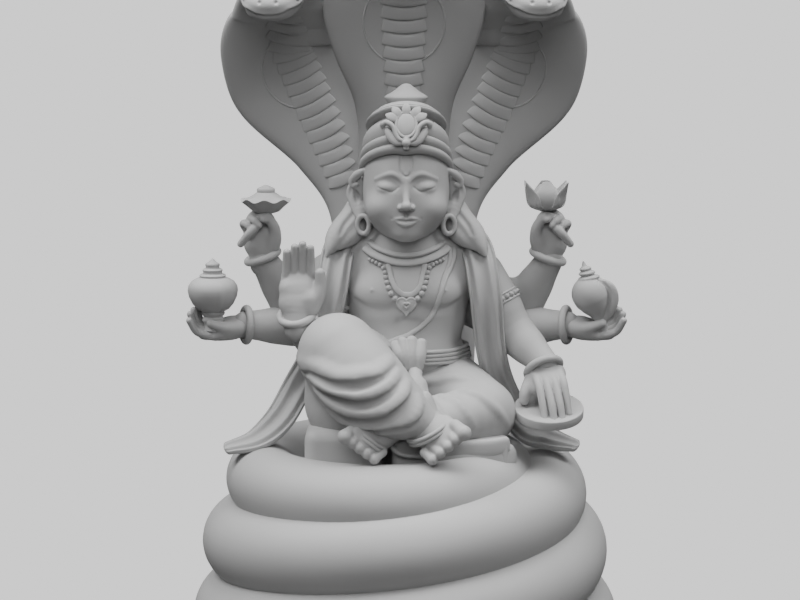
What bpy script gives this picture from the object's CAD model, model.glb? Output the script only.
# A six-armed deity on a coiled serpent with three hoods, cast in one piece of plain grey resin.
import math

import bmesh
import bpy
import numpy as np
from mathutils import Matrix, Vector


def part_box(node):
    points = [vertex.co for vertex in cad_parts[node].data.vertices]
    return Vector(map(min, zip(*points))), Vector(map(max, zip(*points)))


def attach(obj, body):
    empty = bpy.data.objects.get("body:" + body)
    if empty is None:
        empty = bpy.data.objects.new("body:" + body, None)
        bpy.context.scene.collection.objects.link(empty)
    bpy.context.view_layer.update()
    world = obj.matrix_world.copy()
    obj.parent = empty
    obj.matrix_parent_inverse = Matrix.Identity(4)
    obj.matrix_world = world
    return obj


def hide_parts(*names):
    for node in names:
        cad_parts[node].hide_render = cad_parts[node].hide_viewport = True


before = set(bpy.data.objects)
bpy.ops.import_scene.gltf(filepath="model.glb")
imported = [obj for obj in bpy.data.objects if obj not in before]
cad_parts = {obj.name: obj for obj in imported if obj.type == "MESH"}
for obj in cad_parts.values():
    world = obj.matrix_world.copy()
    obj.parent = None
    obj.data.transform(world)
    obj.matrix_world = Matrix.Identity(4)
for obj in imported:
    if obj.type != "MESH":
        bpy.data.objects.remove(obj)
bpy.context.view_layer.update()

import openvdb
from mathutils import Euler, Matrix, Vector


# The studio: the casting stands before an evenly lit pale sweep. Three broad soft lamps hang
# above it and high at its sides, a weak one fills from the front, and the camera looks down a little.
CAMERA_AIM = Vector((-0.0016, 0, 0.1568))
CAMERA_REACH = 0.7556
CAMERA_RISE = math.radians(8)
LENS_MM = 85
SENSOR_MM = 36
SWEEP_WIDTH = 7
SWEEP_FRONT = -2.6
SWEEP_BACK = 1.6
SWEEP_BEND = 1.2
SWEEP_TOP = 3.5
SWEEP_GLOW = 1.18
ROOM_LIGHT = 0.085
LAMP_SIZE = 0.8

back_to_camera = Vector((0, -math.cos(CAMERA_RISE), math.sin(CAMERA_RISE)))
lens = bpy.data.cameras.new("camera")
lens.lens = LENS_MM
lens.sensor_width = SENSOR_MM
camera = bpy.data.objects.new("camera", lens)
camera.location = CAMERA_AIM + back_to_camera * CAMERA_REACH
camera.rotation_euler = back_to_camera.to_track_quat("Z", "Y").to_euler()
bpy.context.scene.collection.objects.link(camera)
bpy.context.scene.camera = camera


def lamp(name, place, power):
    """A square soft lamp that faces the figure's middle."""
    light = bpy.data.lights.new(name, "AREA")
    light.size = LAMP_SIZE
    light.energy = power
    holder = bpy.data.objects.new(name, light)
    holder.location = place
    holder.rotation_euler = (Vector(place) - CAMERA_AIM).to_track_quat("Z", "Y").to_euler()
    bpy.context.scene.collection.objects.link(holder)


lamp("top_lamp", (0, 0, 1.62), 21)
lamp("left_lamp", (-0.84, -0.2, 1.35), 20.5)
lamp("right_lamp", (0.84, -0.2, 1.35), 16)
lamp("front_lamp", (0, -1.26, 0.88), 6)

room = bpy.data.worlds.new("room")
room.use_nodes = True
room.node_tree.nodes["Background"].inputs["Color"].default_value = (1, 1, 1, 1)
room.node_tree.nodes["Background"].inputs["Strength"].default_value = ROOM_LIGHT
bpy.context.scene.world = room


def skin(places):
    """A grid of faces laid through rows of places. Corners that fall together are joined."""
    rows, columns = places.shape[:2]
    bm = bmesh.new()
    bmesh.ops.create_grid(bm, x_segments=columns - 1, y_segments=rows - 1, size=0.5)
    for corner in bm.verts:
        row = round((corner.co.y + 0.5) * (rows - 1))
        column = round((corner.co.x + 0.5) * (columns - 1))
        corner.co = places[row, column]
    bmesh.ops.remove_doubles(bm, verts=bm.verts, dist=1e-4)
    return bm


def sweep_line():
    """The paper's side view as (y, z): flat, then up in a round bend."""
    turn = np.linspace(0, math.pi / 2, 24)
    bend = np.stack([SWEEP_BACK + SWEEP_BEND * np.sin(turn), SWEEP_BEND * (1 - np.cos(turn))], 1)
    return np.vstack([[SWEEP_FRONT, 0], bend, [SWEEP_BACK + SWEEP_BEND, SWEEP_TOP]])


line = sweep_line()
sides = [np.column_stack([np.full(len(line), x), line]) for x in (-SWEEP_WIDTH / 2, SWEEP_WIDTH / 2)]
paper_mesh = bpy.data.meshes.new("sweep")
paper_skin = skin(np.stack(sides, 1))
for face in paper_skin.faces:
    face.smooth = True
paper_skin.to_mesh(paper_mesh)
paper = bpy.data.materials.new("paper")
paper.use_nodes = True
paper_look = paper.node_tree.nodes["Principled BSDF"].inputs
paper_look["Base Color"].default_value = (0, 0, 0, 1)
paper_look["Roughness"].default_value = 1
paper_look["Specular IOR Level"].default_value = 0
paper_look["Emission Color"].default_value = (1, 1, 1, 1)
paper_look["Emission Strength"].default_value = SWEEP_GLOW
paper_mesh.materials.append(paper)
sweep = bpy.data.objects.new("sweep", paper_mesh)
sweep.visible_diffuse = False
sweep.visible_glossy = False
bpy.context.scene.collection.objects.link(sweep)


# The plinth is a low round disc under the lowest coil, cast with it, flat below and rounded at
# its upper edge. The whole work is modelled in shares of its height and then scaled to metres.
PLINTH_RADIUS = 0.092
PLINTH_HEIGHT = 0.010
PLINTH_EDGE = 0.0015
COIL_SINK = 0.0012  # how deep the lowest coil is bedded in the plinth
FOOT = 20  # the lowest coil's underside, in shares
CREST = 790  # the top of the middle head, in shares
GREY = 0.415
MOTTLE = 0.045  # how much the grey varies
CLOUD_SCALE = 38.0
DULLNESS = 0.52  # the roughness
DULLNESS_VARIES = 0.12
GLOSS = 0.35
TOOTH_SCALE = 2600.0
TOOTH_HEIGHT = 0.00012
TOOTH_STRENGTH = 0.12
CREASE_ANGLE = math.radians(50)  # an edge sharper than this stays crisp

SHARE = (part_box("statue")[1].z - PLINTH_HEIGHT + COIL_SINK) / (CREST - FOOT)
TO_METRES = Matrix.Translation((0, 0, PLINTH_HEIGHT - COIL_SINK - FOOT * SHARE)) @ Matrix.Scale(SHARE, 4)


class Wire:
    """A shader socket that takes part in sums."""

    def __init__(self, tree, socket):
        self.tree = tree
        self.socket = socket

    def _sum(self, operation, *terms):
        node = self.tree.nodes.new("ShaderNodeMath")
        node.operation = operation
        for slot, term in zip(node.inputs, terms):
            if isinstance(term, Wire):
                self.tree.links.new(term.socket, slot)
            else:
                slot.default_value = term
        return Wire(self.tree, node.outputs[0])

    def __add__(self, other):
        return self._sum("ADD", self, other)

    def __mul__(self, other):
        return self._sum("MULTIPLY", self, other)

    def __rsub__(self, other):
        return self._sum("SUBTRACT", other, self)

    __radd__ = __add__
    __rmul__ = __mul__


class Shop:
    """Places any other shader node, from its type, its settings and its sockets' values."""

    def __init__(self, material):
        self.tree = material.node_tree

    def node(self, kind, settings=None, output=0, **sockets):
        node = self.tree.nodes.new("ShaderNode" + kind)
        for name, value in (settings or {}).items():
            setattr(node, name, value)
        for name, value in sockets.items():
            slot = node.inputs[name.replace("_", " ")]
            if isinstance(value, Wire):
                self.tree.links.new(value.socket, slot)
            else:
                slot.default_value = value
        return Wire(self.tree, node.outputs[output])


def grey_resin():
    """Unpainted cast resin: matte mid grey, faintly mottled, with a fine tooth from the mould."""
    material = bpy.data.materials.new("grey_resin")
    material.use_nodes = True
    shop = Shop(material)
    surface = material.node_tree.nodes["Principled BSDF"]
    place = shop.node("TexCoord", output=3)
    cloud = shop.node("TexNoise", Vector=place, Scale=CLOUD_SCALE, Detail=3.0)
    tooth = shop.node("TexNoise", Vector=place, Scale=TOOTH_SCALE, Detail=2.0)
    tone = cloud * MOTTLE + GREY
    colour = shop.node("CombineColor", Red=tone, Green=tone, Blue=tone)
    matte = cloud * DULLNESS_VARIES + DULLNESS
    grain = shop.node("Bump", Strength=TOOTH_STRENGTH, Distance=TOOTH_HEIGHT, Height=tooth)
    material.node_tree.links.new(colour.socket, surface.inputs["Base Color"])
    material.node_tree.links.new(matte.socket, surface.inputs["Roughness"])
    material.node_tree.links.new(grain.socket, surface.inputs["Normal"])
    surface.inputs["Specular IOR Level"].default_value = GLOSS
    return material


RESIN = grey_resin()


def cast(bm, name, metres=False):
    """Turns a finished form into a piece of the casting, in its place on the statue."""
    bmesh.ops.recalc_face_normals(bm, faces=bm.faces)
    if not metres:
        bm.transform(TO_METRES)
    for face in bm.faces:
        face.smooth = True
    mesh = bpy.data.meshes.new(name)
    bm.to_mesh(mesh)
    bm.free()
    mesh.set_sharp_from_angle(angle=CREASE_ANGLE)
    mesh.materials.append(RESIN)
    piece = bpy.data.objects.new(name, mesh)
    bpy.context.scene.collection.objects.link(piece)
    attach(piece, "root")
    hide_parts("statue")


def turned(profile, base=(0, 0, 0), axis=(0, 0, 1), steps=96):
    """A form turned round an upright axis from (radius, height) pairs, then leaned to its axis."""
    bm = bmesh.new()
    outline = [bm.verts.new((radius, 0, height)) for radius, height in profile]
    edges = [bm.edges.new(pair) for pair in zip(outline, outline[1:])]
    up = (0, 0, 1)
    bmesh.ops.spin(
        bm, geom=outline + edges, cent=(0, 0, 0), axis=up, angle=math.tau, steps=steps, use_merge=True
    )
    bmesh.ops.remove_doubles(bm, verts=bm.verts, dist=1e-5)
    lean = Vector(up).rotation_difference(Vector(axis)).to_matrix().to_4x4()
    bm.transform(Matrix.Translation(base) @ lean)
    return bm


def plinth_profile():
    """From the middle of the underside, out, up round the edge and in to the top's middle."""
    turn = np.linspace(0, math.pi / 2, 8)
    inner, shoulder = PLINTH_RADIUS - PLINTH_EDGE, PLINTH_HEIGHT - PLINTH_EDGE
    corner = [(inner + PLINTH_EDGE * math.cos(a), shoulder + PLINTH_EDGE * math.sin(a)) for a in turn]
    return [(0, 0), (PLINTH_RADIUS, 0), *corner, (0, PLINTH_HEIGHT)]


cast(turned(plinth_profile(), steps=160), "plinth", metres=True)


# The serpent's body: one thick smooth tube that winds up from the tail tip in three turns, each
# a little smaller than the one below, and goes in under the seat. A plain drum fills the coils.
TURN, RUN, HEIGHT, BODY = range(4)  # degrees round, then the middle's radius, height and half width
COIL = [
    (225, 178, 30, 8),
    (270, 176, 44, 25),
    (315, 173, 58, 39),
    (360, 170, 68, 48),
    (540, 167, 69, 47),
    (720, 159, 144, 46),
    (900, 162, 145, 43),
    (1080, 141, 200, 42),
    (1260, 143, 211, 37),
    (1350, 136, 215, 37),
    (1440, 92, 220, 34),
    (1530, 62, 224, 34),
]
COIL_STEP = 4  # degrees between two sections of the body
COIL_EASE = 15  # sections over which a change of size is eased
DRUM = [(0, 24), (166, 24), (150, 44), (150, 140), (126, 210), (112, 222), (0, 222)]


def along(points, t):
    """Places on a smooth curve through points, at the shares t of its stretches."""
    p = np.asarray(points, float)
    p = p[:, None] if p.ndim == 1 else p
    p = np.vstack([2 * p[0] - p[1], p, 2 * p[-1] - p[-2]])
    s = np.clip(np.asarray(t, float), 0, 1) * (len(p) - 3)
    i = np.minimum(s.astype(int), len(p) - 4)
    f = (s - i)[..., None]
    a, b, c, d = (p[i + k] for k in range(4))
    return b + 0.5 * f * (c - a + f * (2 * a - 5 * b + 4 * c - d + f * (3 * (b - c) + d - a)))


def unit(vectors):
    """The same headings, each of length one."""
    return vectors / np.linalg.norm(vectors, axis=-1, keepdims=True)


def frames(points, t, facing):
    """The curve's heading at t, its side, and its back, which points away from facing."""
    ahead = unit(along(points, np.add(t, 1e-3)) - along(points, np.subtract(t, 1e-3)))
    side = unit(np.cross(ahead, facing))
    return ahead, side, np.cross(ahead, side)


def sizes(size, count):
    """A size for each point of a path, where one size may stand for all."""
    return np.full(count, size, float) if np.isscalar(size) else np.array(size, float)


def tube(path, wide, thick=None, facing=(0, -1, 0), sides=24, rows=48, square=2, relief=None, cap=5):
    """A limb along a smooth path with rounded ends, half as wide and thick as the sizes say.

    square above 2 fills out its section's corners, and cap is the number of rings at an end.
    relief(t, angle) gives what is added to each point's places across and behind the path."""
    thick = wide if thick is None else thick
    bend = np.linspace(0, math.pi / 2, cap, endpoint=False)
    t = np.concatenate([np.zeros(cap), np.linspace(0, 1, rows), np.ones(cap)])
    swell = np.concatenate([np.sin(bend), np.ones(rows), np.sin(bend)[::-1]])[:, None]
    past = np.concatenate([-np.cos(bend), np.zeros(rows), np.cos(bend)[::-1]])
    across = along(sizes(wide, len(path)), t)
    deep = along(sizes(thick, len(path)), t)
    facing = along(facing, t) if np.ndim(facing) == 2 else facing
    ahead, side, back = frames(path, t, facing)
    centre = along(path, t) + ahead * past[:, None] * np.minimum(across, deep)
    angle = np.linspace(0, math.tau, sides + 1)[None, :]
    c, s = np.cos(angle), np.sin(angle)
    u = across * np.sign(c) * np.abs(c) ** (2 / square)
    v = deep * np.sign(s) * np.abs(s) ** (2 / square)
    if relief:
        du, dv = relief(t[:, None], angle)
        u, v = u + du, v + dv
    u, v = (swell * u)[..., None], (swell * v)[..., None]
    return skin(centre[:, None] + side[:, None] * u + back[:, None] * v)


def together(forms):
    """Several forms as one."""
    whole = bmesh.new()
    for form in forms:
        mesh = bpy.data.meshes.new("form")
        form.to_mesh(mesh)
        form.free()
        whole.from_mesh(mesh)
        bpy.data.meshes.remove(mesh)
    return whole


def coil_path():
    """The body's places and radii from the tail tip up."""
    table = np.array(COIL, float)
    turns = np.arange(table[0, TURN], table[-1, TURN] + 1, COIL_STEP)
    columns = []
    for column in (RUN, HEIGHT, BODY):
        values = np.interp(turns, table[:, TURN], table[:, column])
        wider = np.pad(values, COIL_EASE // 2, mode="reflect", reflect_type="odd")
        columns.append(np.convolve(wider, np.full(COIL_EASE, 1 / COIL_EASE), "valid"))
    run, height, body = columns
    angle = np.radians(turns)
    return np.stack([run * np.cos(angle), run * np.sin(angle), height], 1), body


coil_line, coil_body = coil_path()
coil = tube(coil_line, coil_body, facing=(0, 0, 1), sides=56, rows=len(coil_line), cap=8)
cast(together([coil, turned(DRUM)]), "serpent_coils")


# Three hooded necks rise from the coils behind the figure, the middle one in front of the others
# at its rims. Each is a broad blade, hollowed a little in front, with rolled edges. A side hood's
# inner rim turns back behind the middle one.
MIDDLE_HOOD = {
    "spine": [
        (0, 70, 215), (0, 78, 380), (0, 80, 520), (0, 76, 580), (0, 69, 630),
        (0, 58, 675), (0, 44, 712), (0, 20, 742), (0, -14, 762),
    ],
    "wide": [46, 54, 47, 50, 69, 81, 80, 56, 30],  # half widths up the spine
    "thick": [38, 34, 22, 16, 13, 12, 13, 16, 20],
    "scales": (0.36, 0.92),  # where on the spine the plates begin and end
    "band": [16, 18, 20, 21.5, 21.5, 21, 17],  # the plates' half lengths
    "shift": [0] * 9,  # how far they lie off the middle
    "mark": (0.605, 41, (-1, 1)),  # place on the spine, radius and sides
    "head": ((0, -24, 765), 0, 1.0),  # place, turn in degrees and size
    "outer": 0,  # the side of the outer rim, where it has one
}
SIDE_HOOD = {
    "spine": [
        (34, 82, 215), (42, 100, 380), (54, 113, 468), (79, 119, 530), (115, 116, 598),
        (133, 103, 640), (128.5, 80, 670), (124, 45, 692), (128, 6, 695),
    ],
    "wide": [36, 35, 24, 36, 62, 57, 47, 39, 28],
    "thick": [34, 30, 22, 17, 12, 12, 13, 16, 19],
    "scales": (0.3, 0.93),
    "band": [14, 18, 20, 20, 20, 19, 12],
    "shift": [0, 0, 0, -8, -15, -17, -11, -3, 0],
    "mark": (0.54, 39, (1,)),
    "head": ((128, 0, 691), 3, 0.9),
    "outer": 1,
}
HOOD_FACING = (0, -1, -0.3)
HOOD_CURL = 0.14  # how far the rims come forward, as a share of the half width
HOOD_TUCK = -0.8  # how a side hood's inner rim turns back behind the middle one, against the curl
HOOD_INNER = 0.24  # how much farther that rim reaches, as a share of the half width
HOOD_FULL = 2.7  # how square the blade's section is where it is open


def mirrored(hood):
    """The hood on the other side."""
    place, yaw, size = hood["head"]
    return {
        **hood,
        "spine": [(-x, y, z) for x, y, z in hood["spine"]],
        "shift": [-value for value in hood["shift"]],
        "mark": (*hood["mark"][:2], (-1,)),
        "head": ((-place[0], *place[1:]), -yaw, size),
        "outer": -hood["outer"],
    }


HOODS = [MIDDLE_HOOD, SIDE_HOOD, mirrored(SIDE_HOOD)]


def eased(t, start, end):
    """Rises smoothly from 0 to 1 between two shares."""
    share = np.clip((np.asarray(t, float) - start) / (end - start), 0, 1)[:, None]
    return share * share * (3 - 2 * share)


def hood_section(hood, t):
    """Half width, half thickness, how far the rims come forward, and fullness at t."""
    wide, opened = along(hood["wide"], t), eased(t, 0.3, 0.6)
    bow = HOOD_CURL * wide * opened * (1 - 0.9 * eased(t, 0.6, 0.86))
    return wide, along(hood["thick"], t), bow, 2 + (HOOD_FULL - 2) * opened


def curl(hood, u):
    """The share of the curl at u, from one rim at -1 to the other at 1."""
    return u * u * np.where(u * hood["outer"] < 0, HOOD_TUCK, 1)


def hood_blade(hood):
    """The blade itself, with its section squared where it is open and its rims curled."""

    def relief(t, angle):
        wide, thick, bow, full = hood_section(hood, t[:, 0])
        c, s = np.cos(angle), np.sin(angle)
        u = np.sign(c) * np.abs(c) ** (2 / full)
        v = np.sign(s) * np.abs(s) ** (2 / full)
        inner = hood["outer"] * HOOD_INNER * wide * np.where(u * hood["outer"] < 0, u * u, 0)
        return wide * (u - c) - inner, thick * (v - s) - bow * curl(hood, u)

    return tube(hood["spine"], hood["wide"], hood["thick"], HOOD_FACING, 72, 150, relief=relief)


def on_hood(hood, t, across, out):
    """Places on the blade's front: t up the spine, across it, and standing out of it."""
    t = np.atleast_1d(np.asarray(t, float))
    wide, thick, bow, full = hood_section(hood, t)
    _, side, back = frames(hood["spine"], t, HOOD_FACING)
    x = np.asarray(across, float).reshape(-1, 1) + along(hood["shift"], t)
    u = np.clip(x / wide, -0.999, 0.999)
    v = -((1 - np.abs(u) ** full) ** (1 / full))
    depth = thick * v - bow * curl(hood, u) - np.asarray(out, float).reshape(-1, 1)
    return along(hood["spine"], t) + side * x + back * depth


cast(together([hood_blade(hood) for hood in HOODS]), "hoods")


# Belly scales: broad smooth plates across the front of each neck, one above the other, with a
# fine groove between two plates. A thin ring is drawn round them where the hood is widest.
SCALE_PITCH = 13.5
SCALE_BOW = 3.2  # how far a plate's ends turn up
SCALE_TILT = 0.5  # how far a plate's lower edge stands out
SCALE_LEAN = 0.4  # how much of a lean to the front counts towards the plates' pitch
SCALE_THICK = [0.9, 1.8, 2.3, 2.6, 2.7, 2.6, 2.3, 1.8, 0.9]
MARK_LINE = 1.2
MARK_TALL = 1.05
MARK_TURN = np.radians(np.linspace(26, 154, 24))
STOPS = np.linspace(0, 1, 400)


def spine_reach(hood):
    """How far up the spine each stop lies, where a lean to the front counts for less."""
    steps = np.diff(along(hood["spine"], STOPS), axis=0)
    return np.concatenate([[0], np.cumsum(np.linalg.norm(steps * (1, SCALE_LEAN, 1), axis=1))])


def plates(hood):
    """The plates of one neck, from the lowest up."""
    reach = spine_reach(hood)
    low, high = (np.interp(t, STOPS, reach) for t in hood["scales"])
    count = round((high - low) / SCALE_PITCH)
    forms = []
    for i in range(count):
        middle = low + (i + 0.5) * (high - low) / count
        half = along(hood["band"], [i / count])[0, 0]
        x = np.linspace(-half, half, len(SCALE_THICK))
        t = np.interp(middle + SCALE_BOW * (x / half) ** 2, reach, STOPS)
        forms.append(
            tube(
                on_hood(hood, t, x, 0.2),
                SCALE_PITCH / 2,
                SCALE_THICK,
                facing=-frames(hood["spine"], t[4:5], HOOD_FACING)[2][0],
                sides=20,
                rows=18,
                square=3,
                relief=lambda t, angle: (0, -SCALE_TILT * np.cos(angle)),
                cap=3,
            )
        )
    return forms


def mark(hood):
    """The ring of a hood's eye mark, a thin line either side of the plates."""
    centre, radius, edges = hood["mark"]
    reach = spine_reach(hood)
    middle = np.interp(centre, STOPS, reach)
    t = np.interp(middle + radius * MARK_TALL * np.cos(MARK_TURN), reach, STOPS)
    lines = [on_hood(hood, t, side * radius * np.sin(MARK_TURN), -0.3) for side in edges]
    return [tube(line, MARK_LINE, sides=8, rows=48, cap=3) for line in lines]


cast(together([form for hood in HOODS for form in plates(hood)]), "belly_scales")
cast(together([form for hood in HOODS for form in mark(hood)]), "hood_marks")


# The serpent's three heads, each modelled in clay before casting: a flat skull with heavy brows
# over the eyes, a blunt snout with two nostrils, and a mouth line that waves along the jaw.
SPARING = 0.01  # how readily flat stretches of clay are given larger faces
FAR = 40.0  # how far from any form a point of the clay counts as empty
HEAD_PITCH = 14  # degrees that a serpent's head looks down


class Clay:
    """A block of modelling clay: a grid that holds how far each point lies from the skin.

    Forms are added, or pressed in and taken out, and each joint is smoothed over a width."""

    def __init__(self, low, high, grain):
        self.low = np.array(low, np.float32)
        self.grain = grain
        self.count = np.ceil((np.array(high) - self.low) / grain).astype(int) + 1
        self.away = np.full(self.count, FAR, np.float32)

    def near(self, low, high):
        """The part of the grid between two corners, and where its points lie."""
        first = np.clip(((low - self.low) / self.grain).astype(int), 0, self.count - 1)
        last = np.clip(((high - self.low) / self.grain).astype(int) + 2, 1, self.count)
        part = tuple(slice(a, b) for a, b in zip(first, last))
        spots = [
            self.low[k] + self.grain * np.arange(first[k], last[k], dtype=np.float32)
            for k in range(3)
        ]
        return part, np.meshgrid(*spots, indexing="ij", sparse=True)

    def add(self, *forms, blend=4):
        for low, high, measure in forms:
            part, spots = self.near(low - blend - 2, high + blend + 2)
            new, old = measure(*spots), self.away[part]
            meet = np.maximum(blend - np.abs(new - old), 0)
            self.away[part] = np.minimum(new, old) - meet * meet / (4 * blend)

    def carve(self, *forms, blend=2):
        for low, high, measure in forms:
            part, spots = self.near(low - blend - 2, high + blend + 2)
            new, old = measure(*spots), self.away[part]
            meet = np.maximum(blend - np.abs(new + old), 0)
            self.away[part] = np.maximum(-new, old) + meet * meet / (4 * blend)

    def depth(self, places):
        """How far places lie outside the skin."""
        at = np.clip((places - self.low) / self.grain, 0, self.count - 1.001)
        i = at.astype(int)
        f = at - i
        total = 0
        for corner in np.ndindex(2, 2, 2):
            share = np.prod(np.where(corner, f, 1 - f), axis=1)
            total = total + share * self.away[tuple((i + corner).T)]
        return total

    def laid(self, path, out=0, count=40):
        """A smooth path through the given places, moved to lie on the skin or stand out of it."""
        places = along(path, np.linspace(0, 1, count))
        for _ in range(6):
            here = self.depth(places)
            nudges = np.eye(3) * self.grain
            slope = np.stack([self.depth(places + n) - here for n in nudges], 1) / self.grain
            slope /= np.maximum((slope**2).sum(1, keepdims=True), 0.2)
            places = places - slope * (here - out)[:, None]
        return places

    def met(self, path, out=0, count=40):
        """The same path as seen from the front, on the skin or so far out of it."""
        places = along(path, np.linspace(0, 1, count))
        for _ in range(30):
            places[:, 1] += np.clip(self.depth(places) - out, -6, 6)
        return places

    def skin(self):
        """The clay's surface, as faces."""
        grid = openvdb.FloatGrid(FAR)
        grid.copyFromArray(self.away)
        corners, threes, fours = grid.convertToPolygons(isovalue=0.0, adaptivity=SPARING)
        places = corners * self.grain + self.low
        mesh = bpy.data.meshes.new("clay")
        mesh.from_pydata(places.tolist(), [], threes.tolist() + fours.tolist())
        bm = bmesh.new()
        bm.from_mesh(mesh)
        bpy.data.meshes.remove(mesh)
        return bm


def egg(centre, size, turn=(0, 0, 0)):
    """A form like an egg, with half sizes along three axes, turned by degrees."""
    centre, size = np.array(centre, float), np.array(size, float)
    axes = np.array(Euler([math.radians(a) for a in turn]).to_matrix()).T

    def measure(x, y, z):
        spot = (x - centre[0], y - centre[1], z - centre[2])
        own = [axis[0] * spot[0] + axis[1] * spot[1] + axis[2] * spot[2] for axis in axes]
        near = np.sqrt(sum((value / half) ** 2 for value, half in zip(own, size)))
        far = np.sqrt(sum((value / half**2) ** 2 for value, half in zip(own, size)))
        return (near * (near - 1) / np.maximum(far, 1e-6)).astype(np.float32)

    return centre - size.max(), centre + size.max(), measure


def roll(path, wide, thick=None, facing=(0, -1, 0), steps=4):
    """A roll along a smooth path, of the given half widths, flattened along facing."""
    t = np.linspace(0, 1, steps * (len(path) - 1) + 1)
    spots = along(path, t)
    girth = along(sizes(wide, len(path)), t)[:, 0]
    flat = None if thick is None else girth / along(sizes(thick, len(path)), t)[:, 0]
    _, side, back = frames(path, t, facing)
    reach = girth.max()

    def measure(x, y, z):
        best = np.float32(1e3)
        for k in range(len(t) - 1):
            a, run = spots[k], spots[k + 1] - spots[k]
            px, py, pz = x - a[0], y - a[1], z - a[2]
            h = np.clip((px * run[0] + py * run[1] + pz * run[2]) / (run @ run), 0, 1)
            qx, qy, qz = px - h * run[0], py - h * run[1], pz - h * run[2]
            far = np.sqrt(qx * qx + qy * qy + qz * qz)
            size = girth[k] + h * (girth[k + 1] - girth[k])
            if flat is None:
                here = far - size
            else:
                f = back[k]
                ratio = (flat[k] + flat[k + 1]) / 2
                out = qx * f[0] + qy * f[1] + qz * f[2]
                stretched = np.sqrt(far * far + out * out * (ratio * ratio - 1))
                here = far * (1 - size / np.maximum(stretched, 1e-3))
                here = np.where(stretched < 0.3 * size, -0.7 * size / ratio, here)
            best = np.minimum(best, here)
        return best.astype(np.float32)

    return spots.min(0) - reach, spots.max(0) + reach, measure


def spread(values, count):
    """The given sizes, eased over so many evenly spaced points."""
    return along(values, np.linspace(0, 1, count))[:, 0]


def snake_head():
    clay = Clay((-46, -72, -34), (46, 50, 36), 1.0)
    clay.add(egg((0, 0, 0), (35, 42, 24)))
    clay.add(egg((0, -29, -2), (28, 26, 15)), blend=8)
    clay.add(egg((0, -20, -12), (26, 31, 8.5)), blend=6)
    for side in (-1, 1):
        brow = [(side * 28, -2, 12), (side * 24, -22, 12), (side * 13, -38, 8)]
        clay.add(roll(brow, [5, 6, 3]), blend=6)
        clay.carve(egg((side * 30, -21, 3), (7, 8, 6)), blend=3)
        clay.add(egg((side * 26.5, -21, 3), (5, 6, 5)), blend=1)
        clay.carve(egg((side * 9, -53, 4), (2.4, 4, 2.1)), blend=1.5)
    turn = np.linspace(-1.9, 1.9, 15)
    wave = 2.6 * np.tanh((np.abs(turn) - 0.6) * 6)
    lip = np.stack([29 * np.sin(turn), -24 - 31 * np.cos(turn), -8.5 + wave], 1)
    lip = clay.laid(lip, 0.2)
    clay.add(roll(lip + (0, 0, 2.6), 1.6, steps=1), blend=2.5)
    clay.carve(roll(lip, 1.1, steps=1), blend=1.2)
    return clay.skin()


def placed_head(hood):
    place, yaw, size = hood["head"]
    form = snake_head()
    nod = Matrix.Rotation(math.radians(HEAD_PITCH), 4, "X")
    turn = Matrix.Rotation(math.radians(yaw), 4, "Z") @ nod
    form.transform(Matrix.Translation(place) @ turn @ Matrix.Scale(size, 4))
    return form


cast(together([placed_head(hood) for hood in HOODS]), "serpent_heads")


# The seat: two firm blocks with rounded edges on the top coil, side by side with a gap between
# them. The one at the figure's left is wrapped in cloth, with a rolled hem, a folded edge and a
# soft drape below.
SEAT_BLOCKS = [  # size, centre and edge radius
    ((186, 100, 62), (3, 12, 240), 12),
    ((74, 78, 68), (-59, -59, 243), 12),
    ((113, 76, 64), (44.5, -58, 237), 7),
]
HEM = [
    (-10, -92, 279), (-13, -97, 271), (-11, -100, 261), (-3, -101, 255), (12, -101, 253), (34, -96, 252),
]
LAP = [(24, -97, 258), (56, -98, 260), (82, -97, 261), (98, -90, 262)]
DRAPE = [(28, -96, 246), (60, -98, 246), (88, -92, 247), (102, -80, 249)]


def block(size, centre, edge):
    """A firm block with rounded edges."""
    bm = bmesh.new()
    bmesh.ops.create_cube(bm, size=1)
    bmesh.ops.scale(bm, vec=size, verts=bm.verts)
    bmesh.ops.bevel(
        bm, geom=bm.edges, offset=edge, segments=6, profile=0.5, affect="EDGES", material=-1
    )
    bm.transform(Matrix.Translation(centre))
    return bm


hem = tube(HEM, 2.5, sides=16, rows=60)
lap = tube(LAP, [7, 8, 8.4, 8], [4, 5, 5, 4], sides=32, rows=50, square=3, cap=8)
drape = tube(DRAPE, [9, 12, 13, 12], [5, 6, 7, 7], sides=40, rows=60, square=2.5, cap=10)
cast(together([*(block(*each) for each in SEAT_BLOCKS), hem, lap, drape]), "seat")


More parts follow.
